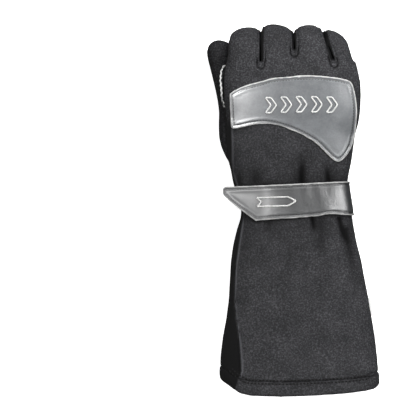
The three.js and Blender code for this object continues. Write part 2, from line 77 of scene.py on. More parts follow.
class GLOVE_PG_sizes(bpy.types.PropertyGroup):
    """Sizes of the sewn details."""

    knit_detail: length_property(
        "Knit detail", "Mesh edge length of the knit panels", 0.0013, min=0.0008, max=0.004
    )
    leather_detail: length_property(
        "Leather detail", "Mesh edge length of the leather pieces", 0.0006, min=0.0004, max=0.003
    )
    ease: bpy.props.IntProperty(
        name="Ease", description="Passes that round the whole form", default=45, min=0, max=60
    )
    raw_edge: length_property("Raw edge", "Width of the pale cut edge of the leather", 0.0007)
    stitch_inset: length_property(
        "Stitch inset", "Distance from the leather's edge to its row of stitches", 0.0025
    )
    stitch_length: length_property("Stitch length", "Length of one stitch", 0.0022)
    thread_width: length_property("Thread width", "Thickness of the sewing thread", 0.0005)


def colour_property(name, description, default):
    return bpy.props.StringProperty(name=name, description=description, default=default)


class GLOVE_PG_colours(bpy.types.PropertyGroup):
    """Colours as sRGB hex values."""

    knit: colour_property("Knit", "Face of the heathered knit", "#363638")
    knit_dark: colour_property("Knit, dark", "Shaded fibres between the loops", "#212124")
    knit_light: colour_property("Knit, light", "Raised pale fibres", "#5d5d61")
    leather: colour_property("Leather", "Grey-black coated leather", "#85898d")
    leather_dark: colour_property("Leather, dark", "Pores and creases of the leather", "#6b6f73")
    raw_edge: colour_property("Raw edge", "Cut edge of the leather", "#cfcfcd")
    thread_dark: colour_property("Dark thread", "Thread along the edges", "#111214")
    thread_hem: colour_property("Hem thread", "Thread of the hem's two rows", "#030304")
    thread_white: colour_property("White thread", "Thread of the ornament", "#f4f4f2")
    label: colour_property("Label", "Woven label tape", "#f7f7f5")
    floor: colour_property("Floor", "Studio floor", "#ffffff")


def sizes():
    return bpy.context.scene.glove_sizes


def colours():
    return bpy.context.scene.glove_colours


# Colours and nodes


def linear(hex_colour):
    """An sRGB hex value as a linear colour with full alpha."""
    parts = [int(hex_colour[i : i + 2], 16) / 255 for i in (1, 3, 5)]
    return [p / 12.92 if p <= 0.04045 else ((p + 0.055) / 1.055) ** 2.4 for p in parts] + [1.0]


def shaded(colour, factor):
    """A linear colour made darker or lighter by a factor."""
    return [min(1, c * factor) for c in colour[:3]] + [1.0]


def grey(value):
    return (value, value, value, 1.0)


def add_node(tree, kind, settings=None, links=None):
    """Adds a node, with its properties, inputs or ramp stops, and the sources of its inputs."""
    node = tree.nodes.new(kind)
    for name, value in (settings or {}).items():
        if name == "stops":
            elements = node.color_ramp.elements
            while len(elements) < len(value):
                elements.new(0.5)
            for element, (position, colour) in zip(elements, value):
                element.position = position
                element.color = colour
        elif isinstance(name, str) and name in node.bl_rna.properties:
            setattr(node, name, value)
        else:
            node.inputs[name].default_value = value
    join(node, links or {})
    return node


def join(node, links):
    """Joins inputs of a node to outputs of others."""
    for name, (other, output) in links.items():
        node.id_data.links.new(other.outputs[output], node.inputs[name])


# Sockets of a Mix node: its factor, then those for colours and those for numbers
MIX_FACTOR = 0
MIX_A, MIX_B, MIX_COLOUR = 6, 7, 2
MIX_LOW, MIX_HIGH, MIX_NUMBER = 2, 3, 0


def new_material(name, settings):
    """A new material, a function that adds nodes to it, its Principled shader, and the link that
    lays a pattern on the piece's own coordinates."""
    material = bpy.data.materials.new(name)
    material.use_nodes = True
    material.node_tree.nodes.clear()
    add = partial(add_node, material.node_tree)
    shader = add("ShaderNodeBsdfPrincipled", settings)
    add("ShaderNodeOutputMaterial", None, {"Surface": (shader, "BSDF")})
    return material, add, shader, {"Vector": (add("ShaderNodeTexCoord"), "Object")}


def knit_material(name, shade):
    """Brushed fleece knit of aramid and modacrylic: matt, grey fibres mixed into black ones."""
    material, add, shader, on_piece = new_material(
        name,
        {
            "Roughness": 0.95,
            "Specular IOR Level": 0.07 * shade,
            "Sheen Weight": 0.02 * shade * shade,
            "Sheen Roughness": 0.6,
            "Sheen Tint": linear("#8c8c90"),
        },
    )
    # Loops are about 0.7 mm apart, too fine for the picture, so the heather is drawn at 1.6 mm
    heather = add(
        "ShaderNodeTexNoise", {"Scale": 620.0, "Detail": 3.0, "Roughness": 0.65}, on_piece
    )
    # Brushed patches where the pile lies over, about 20 mm across; their darker parts are also
    # painted shade of small folds
    pile_and_fold_shade = add("ShaderNodeTexNoise", {"Scale": 50.0, "Detail": 4.0, "Roughness": 0.5}, on_piece)
    # Single pale fibres stand out of the pile a few millimetres apart
    fleck = add("ShaderNodeTexNoise", {"Scale": 900.0, "Detail": 1.0}, on_piece)
    dark = shaded(linear(colours().knit_dark), shade)
    middle = shaded(linear(colours().knit), shade)
    light = shaded(linear(colours().knit_light), shade)
    fibres = add(
        "ShaderNodeValToRGB",
        {"stops": [(0.25, dark), (0.5, middle), (0.78, light)]},
        {"Fac": (heather, "Fac")},
    )
    clouds = add(
        "ShaderNodeValToRGB",
        {"stops": [(0.35, grey(0.7)), (0.65, grey(1.0))]},
        {"Fac": (pile_and_fold_shade, "Fac")},
    )
    piled_and_shaded = add(
        "ShaderNodeMix",
        {"data_type": "RGBA", "blend_type": "MULTIPLY", MIX_FACTOR: 1.0},
        {MIX_A: (fibres, "Color"), MIX_B: (clouds, "Color")},
    )
    pale = add(
        "ShaderNodeValToRGB",
        {"stops": [(0.7, grey(0.0)), (0.8, grey(0.35))]},
        {"Fac": (fleck, "Fac")},
    )
    flecked = add(
        "ShaderNodeMix",
        {"data_type": "RGBA", MIX_B: shaded(light, 2.2)},
        {MIX_FACTOR: (pale, "Color"), MIX_A: (piled_and_shaded, MIX_COLOUR)},
    )
    # Painted shade in gathers, by the strap, between the fingers, beyond the side seam, over the
    # palm and along the hem rows, with the dark seams
    hollow = add("ShaderNodeAttribute", {"attribute_name": "hollow"})
    shade_painted = add(
        "ShaderNodeMix",
        {"data_type": "RGBA", MIX_B: shaded(dark, 0.1)},
        {MIX_FACTOR: (hollow, "Fac"), MIX_A: (flecked, MIX_COLOUR)},
    )
    # Painted highlight along the sewn ridge of the side seam
    ridge = add("ShaderNodeAttribute", {"attribute_name": "ridge"})
    wear_and_highlight = add(
        "ShaderNodeMix",
        {"data_type": "RGBA", MIX_B: shaded(light, 1.5)},
        {MIX_FACTOR: (ridge, "Fac"), MIX_A: (shade_painted, MIX_COLOUR)},
    )
    # Wales of the knit run along the glove, drawn 2.6 mm apart
    wales = add(
        "ShaderNodeTexWave",
        {
            "bands_direction": "X",
            "Scale": 120.0,
            "Distortion": 3.0,
            "Detail": 2.0,
            "Detail Scale": 1.5,
        },
        on_piece,
    )
    wale_bump = add(
        "ShaderNodeBump", {"Strength": 0.2, "Distance": 0.0003}, {"Height": (wales, "Fac")}
    )
    bump = add(
        "ShaderNodeBump",
        {"Strength": 0.5, "Distance": 0.0004},
        {"Height": (heather, "Fac"), "Normal": (wale_bump, "Normal")},
    )
    join(shader, {"Base Color": (wear_and_highlight, MIX_COLOUR), "Normal": (bump, "Normal")})
    return material


def leather_material(name, shade):
    """Coated split leather: a fine grain, a soft gloss on the face, a pale fibrous cut edge."""
    material, add, shader, on_piece = new_material(
        name, {"Specular IOR Level": 0.6, "Coat Weight": 0.15, "Coat Roughness": 0.32}
    )
    # Grain cells of the leather are about 0.9 mm across
    grain = add("ShaderNodeTexVoronoi", {"feature": "DISTANCE_TO_EDGE", "Scale": 1100.0}, on_piece)
    clouds = add("ShaderNodeTexNoise", {"Scale": 60.0, "Detail": 5.0, "Roughness": 0.6}, on_piece)
    streaks = add("ShaderNodeTexNoise", {"Scale": 500.0, "Detail": 3.0, "Roughness": 0.7}, on_piece)
    low = shaded(linear(colours().leather_dark), shade)
    high = shaded(linear(colours().leather), shade)
    base = add(
        "ShaderNodeValToRGB", {"stops": [(0.3, low), (0.65, high)]}, {"Fac": (clouds, "Fac")}
    )
    speck = add(
        "ShaderNodeValToRGB",
        {"stops": [(0.35, grey(0.82)), (0.65, grey(1.0))]},
        {"Fac": (streaks, "Fac")},
    )
    face = add(
        "ShaderNodeMix",
        {"data_type": "RGBA", "blend_type": "MULTIPLY", MIX_FACTOR: 1.0},
        {MIX_A: (base, "Color"), MIX_B: (speck, "Color")},
    )
    # The attributes say how near the cut edge a point is, and how deep in the stitched channel,
    # which is painted dark as painted shade of its groove
    edge = add("ShaderNodeAttribute", {"attribute_name": "cut_edge"})
    channel = add("ShaderNodeAttribute", {"attribute_name": "channel"})
    channel_shaded = add(
        "ShaderNodeMix",
        {"data_type": "RGBA", MIX_B: linear(colours().thread_dark)},
        {MIX_FACTOR: (channel, "Fac"), MIX_A: (face, MIX_COLOUR)},
    )
    edged = add(
        "ShaderNodeMix",
        {"data_type": "RGBA", MIX_B: linear(colours().raw_edge)},
        {MIX_FACTOR: (edge, "Fac"), MIX_A: (channel_shaded, MIX_COLOUR)},
    )
    gloss = add(
        "ShaderNodeMapRange",
        {"From Min": 0.3, "From Max": 0.7, "To Min": 0.34, "To Max": 0.46},
        {"Value": (streaks, "Fac")},
    )
    # Where the leather is rubbed its coating has gone matt
    worn = add("ShaderNodeAttribute", {"attribute_name": "worn"})
    wear_and_highlight = add(
        "ShaderNodeMix",
        {"data_type": "FLOAT", MIX_HIGH: 0.8},
        {MIX_FACTOR: (worn, "Fac"), MIX_LOW: (gloss, "Result")},
    )
    rough = add(
        "ShaderNodeMix",
        {"data_type": "FLOAT", MIX_HIGH: 0.95},
        {MIX_FACTOR: (edge, "Fac"), MIX_LOW: (wear_and_highlight, MIX_NUMBER)},
    )
    cells = add(
        "ShaderNodeBump", {"Strength": 0.3, "Distance": 0.0002}, {"Height": (grain, "Distance")}
    )
    bump = add(
        "ShaderNodeBump",
        {"Strength": 0.25, "Distance": 0.0004},
        {"Height": (streaks, "Fac"), "Normal": (cells, "Normal")},
    )
    join(shader, {"Base Color": (edged, MIX_COLOUR), "Roughness": (rough, MIX_NUMBER)})
    join(shader, {"Normal": (bump, "Normal")})
    return material


def thread_material(name, colour, roughness):
    """Spun sewing thread: two plies whose twist shows as fine slanting lines."""
    settings = {"Roughness": roughness, "Specular IOR Level": 0.15}
    material, add, shader, on_piece = new_material(name, settings)
    twist = add(
        "ShaderNodeTexWave",
        {"bands_direction": "DIAGONAL", "Scale": 900.0, "Distortion": 2.0, "Detail": 1.0},
        on_piece,
    )
    low = shaded(linear(colour), 0.7)
    ply = add(
        "ShaderNodeValToRGB",
        {"stops": [(0.1, low), (0.6, linear(colour))]},
        {"Fac": (twist, "Fac")},
    )
    bump = add("ShaderNodeBump", {"Strength": 0.4, "Distance": 0.0001}, {"Height": (twist, "Fac")})
    join(shader, {"Base Color": (ply, "Color"), "Normal": (bump, "Normal")})
    return material


def tape_material():
    """Woven polyester label tape: flat white with a fine cross weave."""
    material, add, shader, on_piece = new_material(
        "woven_label_tape", {"Roughness": 0.8, "Specular IOR Level": 0.25}
    )
    threads = {"Scale": 500.0, "Distortion": 0.6}
    across = add("ShaderNodeTexWave", {"bands_direction": "X", **threads}, on_piece)
    along = add("ShaderNodeTexWave", {"bands_direction": "Y", **threads}, on_piece)
    weave = add(
        "ShaderNodeMath", {"operation": "MULTIPLY"}, {0: (across, "Fac"), 1: (along, "Fac")}
    )
    low = shaded(linear(colours().label), 0.94)
    face = add(
        "ShaderNodeValToRGB",
        {"stops": [(0.0, low), (0.7, linear(colours().label))]},
        {"Fac": (weave, "Value")},
    )
    bump = add(
        "ShaderNodeBump", {"Strength": 0.25, "Distance": 0.0001}, {"Height": (weave, "Value")}
    )
    join(shader, {"Base Color": (face, "Color"), "Normal": (bump, "Normal")})
    return material


def floor_material():
    """Painted studio floor: matt white that glows a little so that it stays white."""
    material, add, shader, on_piece = new_material(
        "studio_floor_paint",
        {
            "Roughness": 0.9,
            "Specular IOR Level": 0.1,
            "Emission Color": linear(colours().floor),
            "Emission Strength": 1.0,
        },
    )
    grain = add("ShaderNodeTexNoise", {"Scale": 30.0}, on_piece)
    paint = add(
        "ShaderNodeValToRGB",
        {"stops": [(0.3, linear("#fbfbfb")), (0.7, linear(colours().floor))]},
        {"Fac": (grain, "Fac")},
    )
    join(shader, {"Base Color": (paint, "Color")})
    return material


# Meshes


def clear_selection():
    if bpy.context.object and bpy.context.object.mode != "OBJECT":
        bpy.ops.object.mode_set(mode="OBJECT")
    bpy.ops.object.select_all(action="DESELECT")


def make_active(piece):
    clear_selection()
    piece.select_set(True)
    bpy.context.view_layer.objects.active = piece


def apply_modifier(piece, kind, settings):
    modifier = piece.modifiers.new(kind.lower(), kind)
    for name, value in settings.items():
        setattr(modifier, name, value)
    make_active(piece)
    bpy.ops.object.modifier_apply(modifier=modifier.name)


def points_of(piece):
    points = np.zeros(len(piece.data.vertices) * 3)
    piece.data.vertices.foreach_get("co", points)
    return points.reshape(-1, 3)


def normals_of(piece):
    normals = np.zeros(len(piece.data.vertices) * 3)
    piece.data.vertices.foreach_get("normal", normals)
    return normals.reshape(-1, 3)


def set_points(piece, points):
    piece.data.vertices.foreach_set("co", np.asarray(points, float).ravel())
    piece.data.update()


def linked(name, data):
    """A new object of the scene that holds this data."""
    item = bpy.data.objects.new(name, data)
    bpy.context.scene.collection.objects.link(item)
    return item


def delete_piece(piece):
    data = piece.data
    bpy.data.objects.remove(piece)
    bpy.data.meshes.remove(data)


def merged_copy(name, node_names):
    """One object with copies of CAD nodes, their loose triangles merged into closed solids."""
    mesh = bpy.data.meshes.new(name)
    work = bmesh.new()
    for node in node_names:
        work.from_mesh(NODES[node].data)
    bmesh.ops.remove_doubles(work, verts=work.verts, dist=1e-6)
    work.to_mesh(mesh)
    work.free()
    return linked(name, mesh)


def remesh(piece, size):
    settings = {"mode": "VOXEL", "voxel_size": size, "adaptivity": 0.0, "use_smooth_shade": True}
    apply_modifier(piece, "REMESH", settings)


def smooth(piece, passes):
    if passes:
        apply_modifier(piece, "SMOOTH", {"iterations": passes, "factor": 0.5})


def calm_faces(piece, passes, distance):
    """Smooths a plate across its faces only, so that its rim stays where it is."""
    rim, inner = 0.6, 4.0
    points = points_of(piece)
    normals = normals_of(piece)
    smooth(piece, passes)
    moves = points_of(piece) - points
    along = (moves * normals).sum(axis=1) * smoothstep(rim, inner, distance)
    set_points(piece, points + normals * along[:, None])


def attribute(piece, name, values):
    layer = piece.data.attributes.get(name) or piece.data.attributes.new(name, "FLOAT", "POINT")
    layer.data.foreach_set("value", np.asarray(values, np.float32))


def smoothstep(low, high, values):
    t = np.clip((values - low) / (high - low), 0, 1)
    return t * t * (3 - 2 * t)


def looped(line):
    return np.vstack([line, line[:1]])


def lengths_along(line):
    """How far along a line each of its corners is."""
    return np.concatenate([[0], np.cumsum(np.linalg.norm(np.diff(line, axis=0), axis=1))])


def softened(points):
    """Points of a closed line, each moved towards its two neighbours."""
    return (np.roll(points, 1, axis=0) + 2 * points + np.roll(points, -1, axis=0)) / 4


def distance_to_line(points, line, closed=False):
    """Distance in plan from points to a line of corners, and the share of its length there."""
    line = np.asarray(line, float)
    if closed:
        line = looped(line)
    best = np.full(len(points), np.inf)
    where = np.zeros(len(points))
    lengths = np.linalg.norm(np.diff(line, axis=0), axis=1)
    starts = np.concatenate([[0], np.cumsum(lengths)])
    for i in range(len(line) - 1):
        a, b = line[i], line[i + 1]
        d = b - a
        t = np.clip(((points - a) @ d) / max(d @ d, 1e-12), 0, 1)
        gap = np.linalg.norm(points - (a + t[:, None] * d), axis=1)
        nearer = gap < best
        best[nearer] = gap[nearer]
        where[nearer] = (starts[i] + t * lengths[i])[nearer]
    return best, where / starts[-1]


def wave_noise(points, wavelength, seed):
    """Smooth noise from about -1 to 1, the same in each run, as a sum of turned waves."""
    waves, divisor = 9, 4.0
    chance = np.random.RandomState(seed)
    total = np.zeros(len(points))
    for _ in range(waves):
        direction = chance.normal(size=3)
        direction /= np.linalg.norm(direction)
        length = wavelength * chance.uniform(0.7, 1.5)
        phase = chance.uniform(0, 2 * math.pi)
        total += np.sin(points @ direction * (2 * math.pi / length) + phase)
    return total / divisor


# Plan lines in millimetres of the row frame: X to the little finger, Y to the finger bends

SLIT_LINES = [
    [(-38.6, 190), (-39.0, 152), (-39.6, 141.5)],
    [(-6.5, 190), (-6.1, 165), (-5.8, 153.5)],
    [(20.5, 190), (29.0, 162), (35.0, 143.0)],
]

# The seam along the thumb side, from the patch's corner to the gauntlet's mouth
SIDE_SEAM = np.array(
    [
        (-71.9, 97.3), (-69.2, 85.3), (-68.5, 70.3), (-68.5, 50.3), (-67.9, 38.3), (-64.2, 26.3),
        (-57.7, 10.3), (-57.7, -9.7), (-61.5, -35.7), (-64.6, -56.7), (-66.2, -87.7),
        (-63.8, -111.7), (-60.2, -133.7), (-58.5, -160.7), (-64.6, -177.7), (-70.0, -190.0),
    ]
)

RIDGE_HEIGHT = 0.0005

# Gathers beside the strap: where each starts and where it is deepest, half width, depth
GATHERS = [
    ((1.0, 60.0), (2.2, 24.0), 3.4, 5.0),
    ((-3.0, 50.0), (-3.0, 24.0), 6.0, 1.6),
    ((26.0, 50.0), (28.0, 25.0), 3.0, 4.4),
    ((33.0, 40.0), (33.0, 24.0), 4.5, 1.8),
    ((-44.0, 52.0), (-46.0, 23.0), 6.0, 2.0),
    ((-62.0, 44.0), (-60.5, 23.0), 3.0, 2.2),
    ((14.5, -26.0), (12.0, -8.0), 2.8, 4.6),
    ((47.0, -40.0), (38.5, -8.0), 3.2, 4.0),
    ((-33.0, -28.0), (-32.0, -11.0), 6.0, 1.8),
    ((22.0, -62.0), (20.0, -12.0), 6.0, 1.8),
    ((57.0, -82.0), (46.0, -20.0), 5.0, 2.4),
]

# The strap's middle in millimetres, and the mouth's edge and the cloth inside it in metres
STRAP_MIDDLE = 9.5
MOUTH_EDGE, MOUTH_INNER = -0.1865, -0.180

# The smoothed form, kept after its first use
EASED = {}


def eased_form():
    """The whole knit as one closed form: a tree of its points and how far smoothing moves each."""
    if EASED:
        return EASED["tree"], EASED["moves"]
    detail, farthest = 0.0016, 0.0016
    form = merged_copy("form_work", KNIT_NODES)
    remesh(form, detail)
    before = points_of(form)
    smooth(form, sizes().ease)
    moves = points_of(form) - before
    # The slits between the fingers and the mouth stay where they are
    spots = before[:, :2] * PER_METRE
    for line in SLIT_LINES:
        gap, _ = distance_to_line(spots, line)
        moves *= smoothstep(2.5, 7.0, gap)[:, None]
    moves *= smoothstep(MOUTH_EDGE, MOUTH_INNER, before[:, 1])[:, None]
    far = np.linalg.norm(moves, axis=1)
    moves *= np.minimum(1, farthest / np.maximum(far, 1e-9))[:, None]
    tree = KDTree(len(before))
    for i, point in enumerate(before):
        tree.insert(point, i)
    tree.balance()
    EASED.update(tree=tree, moves=moves)
    delete_piece(form)
    return tree, moves


def ease(points):
    """Moves points with the nearest parts of the smoothed form."""
    neighbours, nearest = 4, 0.0003
    tree, moves = eased_form()
    moved = points.copy()
    for i, point in enumerate(points):
        total = np.zeros(3)
        weight = 0
        for _, index, gap in tree.find_n(point, neighbours):
            share = 1 / (gap + nearest)
            total += moves[index] * share
            weight += share
        moved[i] += total / weight
    return moved


def drape(points, upper):
    """Lets the cloth sag into gathers by the strap and swell a little, and gives how deep it sags,
    which sets the painted shade in the gathers.
    """
    spots = points[:, :2] * PER_METRE
    sag = np.zeros(len(points))
    for top, foot, width, depth in GATHERS:
        gap, share = distance_to_line(spots, [top, foot])
        fade = smoothstep(0.0, 0.8, share)
        spread = width * (1.25 - 0.4 * fade)
        sag += depth * fade * np.exp(-((gap / spread) ** 2)) * upper
    broad = wave_noise(points * PER_METRE, 36, 5)
    fine = wave_noise(points * PER_METRE, 12, 8)
    lift = 0.4 * broad + 0.14 * fine
    # The strap presses the cloth down along its edges
    strap_edge, press_width, press_depth = 17.0, 6.0, 0.8
    beside = np.abs(spots[:, 1] - STRAP_MIDDLE)
    lift -= press_depth * (np.exp(-(((beside - strap_edge) / press_width) ** 2)) * upper)
    moved = points.copy()
    moved[:, 2] += (lift - sag) * MM
    deepest = 3.5
    return moved, np.clip(sag / deepest, 0, 1)


# Pieces


def finish_piece(piece, material, slot, *nodes):
    piece.data.materials.clear()
    piece.data.materials.append(material)
    for polygon in piece.data.polygons:
        polygon.use_smooth = True
    if nodes:
        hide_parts(*nodes)
    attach(piece, "root")


def knit_piece(node, size, passes, swell):
    """A knit panel from its CAD solid: rounded with the form, pushed down along the strap, gathered
    and swelled.
    """
    piece = merged_copy("knit_" + node, [node])
    if node in GUSSET_NODES:
        add_web(piece, SLIT_LINES[GUSSET_NODES.index(node)])
    remesh(piece, size)
    points = ease(points_of(piece))
    points, sag = drape(points, upper_level(points))
    set_points(piece, points)
    smooth(piece, passes)
    points = points_of(piece) + normals_of(piece) * swell
    points[:, 2] = np.maximum(points[:, 2], 0.0)
    set_points(piece, points)
    mark_knit(piece, node, points, sag)
    return piece


def mark_knit(piece, node, points, sag):
    """Paints shade into the hollows and darkens the seams of a knit panel, and raises its side seam
    and paints a highlight along it.
    """
    spots = points * PER_METRE
    back = smoothstep(18, 24, spots[:, 2])
    side, left, near = side_seam(spots)
    # Painted shade in a gather, painted shadow under the strap's edge, painted shade beyond the
    # side seam and, weaker, round the strap
    beside, _ = distance_to_line(spots[:, :2], STRAP_EDGE)
    strap_shadow = np.exp(-((beside / 3.0) ** 2)) * back * np.where(spots[:, 0] < 4, 0.8, 0.5)
    wrist_shade = 0.46 * np.exp(-(((spots[:, 1] - STRAP_MIDDLE) / 42.0) ** 2)) * back
    hollow = np.maximum(np.maximum(sag * 1.1, strap_shadow), left)
    hollow = hollow + wrist_shade * (1 - hollow)
    # Darker at the seams between panels, less so near the mouth, and painted shade along the hem's
    # two rows
    seam = seam_share(points, node)
    if node == "back_panel" or node in GUSSET_NODES:
        seam *= 1 - smoothstep(110, 120, spots[:, 1])
        seam = np.maximum(seam, gusset_loops(spots))
    seam *= 1 - near * (node != "thumb_panel")
    reach, _ = distance_to_line(spots[:, :2], MOUTH)
    seam *= 1 - 0.55 * (reach < 18)
    for row in HEM_ROWS:
        hem_row_shade = np.exp(-(((reach - row) / 0.9) ** 2)) * (spots[:, 1] < -150)
        seam = np.maximum(seam, 0.5 * hem_row_shade)
    hollow = np.maximum(hollow, seam)
    # Painted shade over the whole palm panel, except high up on the gauntlet inside the side seam
    if node == "palm_panel":
        shown = back * (1 - left) * (spots[:, 1] < 0)
        hollow = np.maximum(hollow, 1 - shown)
    if node == "thumb_panel":
        hollow = sag * 0
    attribute(piece, "hollow", np.clip(hollow, 0, 1))
    # Painted highlight along the side seam's ridge
    attribute(piece, "ridge", side * 0.5 * (node in ("back_panel", "cuff_hem")))
    points[:, 2] += side * RIDGE_HEIGHT * (node in ("back_panel", "palm_panel"))
    set_points(piece, points)


def side_seam(spots):
    """The seam along the thumb side: its ridge, painted with a highlight, the painted shade on the
    cloth beyond it, and the cloth near it.
    """
    along = SIDE_SEAM[:, 1][::-1]
    across = np.interp(spots[:, 1], along, SIDE_SEAM[:, 0][::-1])
    beyond = across - spots[:, 0]
    reach = smoothstep(along[0] - 2, along[0] + 1, spots[:, 1])
    reach = reach * (1 - smoothstep(82, 96, spots[:, 1]))
    ridge = np.exp(-(((beyond + 0.8) / 0.8) ** 2)) * reach * smoothstep(12, 20, spots[:, 2])
    ridge *= smoothstep(-170, -163, spots[:, 1])
    dark = smoothstep(-0.2, 0.8, beyond) * reach
    near = np.exp(-((beyond / 5.0) ** 2)) * reach
    return ridge, dark, near


def gusset_loops(spots):
    """The dark seams of the gusset loops on the back of the hand, and painted shade in the gaps
    above them.
    """
    loop_reach, seam_radius = 3.8, 3.9
    dark = np.zeros(len(spots))
    back = smoothstep(26, 32, spots[:, 2])
    for line in SLIT_LINES:
        line = np.asarray(line, float)
        last = line[-2] - line[-1]
        end = line[-1] + last / np.linalg.norm(last) * loop_reach
        gap, _ = distance_to_line(spots[:, :2], np.vstack([line[:-1], end]))
        above = spots[:, 1] - end[1]
        low = 1 - smoothstep(4.0, 9.0, above)
        seam = np.clip(np.exp(-(((gap - seam_radius) / 0.8) ** 2)) * 1.3, 0, 1) * low
        # Painted shade deep in the gap between the fingers
        gap_shade = (1 - smoothstep(1.8, 2.8, gap)) * smoothstep(1.0, 4.0, above)
        dark = np.maximum(dark, np.maximum(seam, gap_shade * 0.97) * back)
    return dark


def seam_share(points, node):
    """1 at a seam, where another knit panel meets this one, and 0 away from it."""
    farthest = 0.003
    tree = tree_of(*[NODES[other] for other in KNIT_NODES if other != node])
    gap = np.full(len(points), np.inf)
    for i, point in enumerate(points):
        hit, _, _, distance = tree.find_nearest(Vector(point), farthest)
        if hit is not None:
            gap[i] = distance * PER_METRE
    return 0.8 * (1 - smoothstep(0.35, 1.25, gap))


def add_web(piece, line):
    """Joins the two walls of a gusset deep between the fingers, where the cloth folds back."""
    front, low, high, radius, half_width, steps = 176.5, 9.0, 45.0, 16.0, 1.5, 8
    start = line[-1][1] - 2.0
    middle = front - radius
    profile = [(start, low), (middle, low)]
    for step in range(1, steps):
        turn = math.pi / 2 * (step / steps - 1)
        profile.append((middle + radius * math.cos(turn), low + radius + radius * math.sin(turn)))
    for step in range(0, steps + 1):
        turn = math.pi / 2 * step / steps
        profile.append((middle + radius * math.cos(turn), high - radius + radius * math.sin(turn)))
    profile.append((start, high))
    line = np.asarray(line, float)
    work = bmesh.new()
    work.from_mesh(piece.data)
    sides = []
    for half in (-half_width, half_width):
        row = []
        for along, up in profile:
            across = np.interp(along, line[::-1, 1], line[::-1, 0]) + half
            row.append(work.verts.new((across * MM, along * MM, up * MM)))
        sides.append(row)
    faces = [work.faces.new(sides[0]), work.faces.new(sides[1])]
    count = len(profile)
    for i in range(count):
        j = (i + 1) % count
        faces.append(work.faces.new((sides[0][i], sides[0][j], sides[1][j], sides[1][i])))
    bmesh.ops.recalc_face_normals(work, faces=faces)
    work.to_mesh(piece.data)
    work.free()


def upper_level(points):
    """1 on the back of the glove, 0 on its palm side, by height at that place."""
    wrist_middle, finger_rise = 0.024, 0.012
    middle = wrist_middle + finger_rise * smoothstep(0.04, 0.12, points[:, 1])
    return smoothstep(-0.006, 0.008, points[:, 2] - middle)


# Where the frame in which the solids were drawn has its origin, in millimetres
DRAWN_X, DRAWN_Y, DRAWN_Z = -3.3, 11.45, 0.2


def plan(line, width, length):
    """Shares of two named sizes as corners in millimetres of the row frame."""
    return [(a * width + DRAWN_X, b * length + DRAWN_Y) for a, b in line]


def outlined(corners):
    """A closed outline with rounded corners, at close steps."""
    return looped(resampled(corners, 0.5, closed=True))


def patch_ornament():
    """A row of outlined chevrons."""
    count, first, pitch, middle = 5, -35.0, 15.2, 104.6
    arm, half_height = 5.6, 7.6
    rows = []
    for i in range(count):
        x = first + i * pitch
        y = middle + 1.2 * math.sin(0.3 + i * 0.5)
        upper = [(x, y + half_height), (x + arm, y + half_height), (x + 2 * arm, y)]
        lower = [(x + arm, y - half_height), (x, y - half_height), (x + arm, y)]
        rows.append(outlined(upper + lower))
    return rows


def strap_ornament():
    """One long outlined bar with a pointed end."""
    corners = [(-43.5, 12.6), (-12.0, 13.4), (-4.0, 9.4), (-12.0, 4.6), (-43.5, 3.8), (-38.5, 8.2)]
    return [outlined(corners)]


# Sizes that the solids are drawn from, in millimetres
KNUCKLE_WIDTH = 138
HAND_LENGTH = 176
KNUCKLE_HEIGHT = 60
WRIST_WIDTH = 110
STRAP_WIDTH = 33
MOUTH_WIDTH = 158
GAUNTLET_LENGTH = 196

# The patch's edge seen from above, from its upper left corner towards the little finger
PATCH_EDGE = plan(
    [
        (-0.482, 0.591), (-0.384, 0.634), (-0.225, 0.665), (-0.188, 0.676), (-0.029, 0.688),
        (0.109, 0.693), (0.268, 0.682), (0.37, 0.665), (0.399, 0.636), (0.42, 0.557),
        (0.426, 0.486), (0.413, 0.375), (0.384, 0.29), (0.341, 0.239), (0.295, 0.216),
        (0.243, 0.244), (0.181, 0.295), (0.109, 0.341), (0, 0.386), (-0.104, 0.416),
        (-0.21, 0.433), (-0.312, 0.429), (-0.42, 0.409), (-0.467, 0.406), (-0.474, 0.455),
    ],
    KNUCKLE_WIDTH,
    HAND_LENGTH,
)

# The strap's edges seen from above, from its wrapped end round the free tip and back
STRAP_EDGE = plan(
    [
        (0.68, 0.515), (0.491, 0.509), (0.24, 0.479), (-0.095, 0.418), (-0.382, 0.376),
        (-0.655, 0.339), (-0.669, 0.288), (-0.671, 0.182), (-0.651, 0.061), (-0.512, -0.303),
        (-0.373, -0.642), (-0.191, -0.588), (0.182, -0.509), (0.273, -0.433), (0.391, -0.455),
        (0.523, -0.479), (0.68, -0.485),
    ],
    WRIST_WIDTH,
    STRAP_WIDTH,
)

# The palm leather: its edge beside the thumb seen from the side, and its edge on the palm
LEATHER_SIDE = [
    (along * HAND_LENGTH + DRAWN_Y, up * KNUCKLE_HEIGHT + DRAWN_Z)
    for along, up in [
        (0.761, 0.52), (0.761, 0.66), (0.74, 0.75), (0.68, 0.79), (0.61, 0.78),
        (0.545, 0.72), (0.494, 0.57), (0.466, 0.4), (0.466, -0.2),
    ]
]
LEATHER_PALM = plan(
    [
        (-0.62, 0.608), (0.28, 0.608), (0.33, 0.57), (0.33, 0.28), (0.25, 0.227),
        (-0.42, 0.227), (-0.5, 0.3), (-0.62, 0.45),
    ],
    KNUCKLE_WIDTH,
    HAND_LENGTH,
)

# The gauntlet's mouth seen from above, and the distances of the two hem rows from it
MOUTH = plan(
    [
        (-0.481, 0.921), (-0.443, 0.949), (-0.405, 0.973), (-0.361, 0.993), (-0.291, 1.003),
        (-0.101, 1.007), (0.051, 1.004), (0.19, 0.999), (0.304, 0.994), (0.437, 0.984),
        (0.487, 0.974), (0.5, 0.962),
    ],
    MOUTH_WIDTH,
    -GAUNTLET_LENGTH,
)
HEM_ROWS = (12.2, 15.6)

# Smooth outlines: corners, whether closed, the corners that stay sharp, and how far sideways the
# rim is moved before it is smoothed and where it lies after that
OUTLINES = {
    "knuckle_patch": (PATCH_EDGE, True, {0, 23}, -1.3, -1.1),
    "wrist_strap": (STRAP_EDGE, False, {5, 10}, 0.9, 0.5),
}


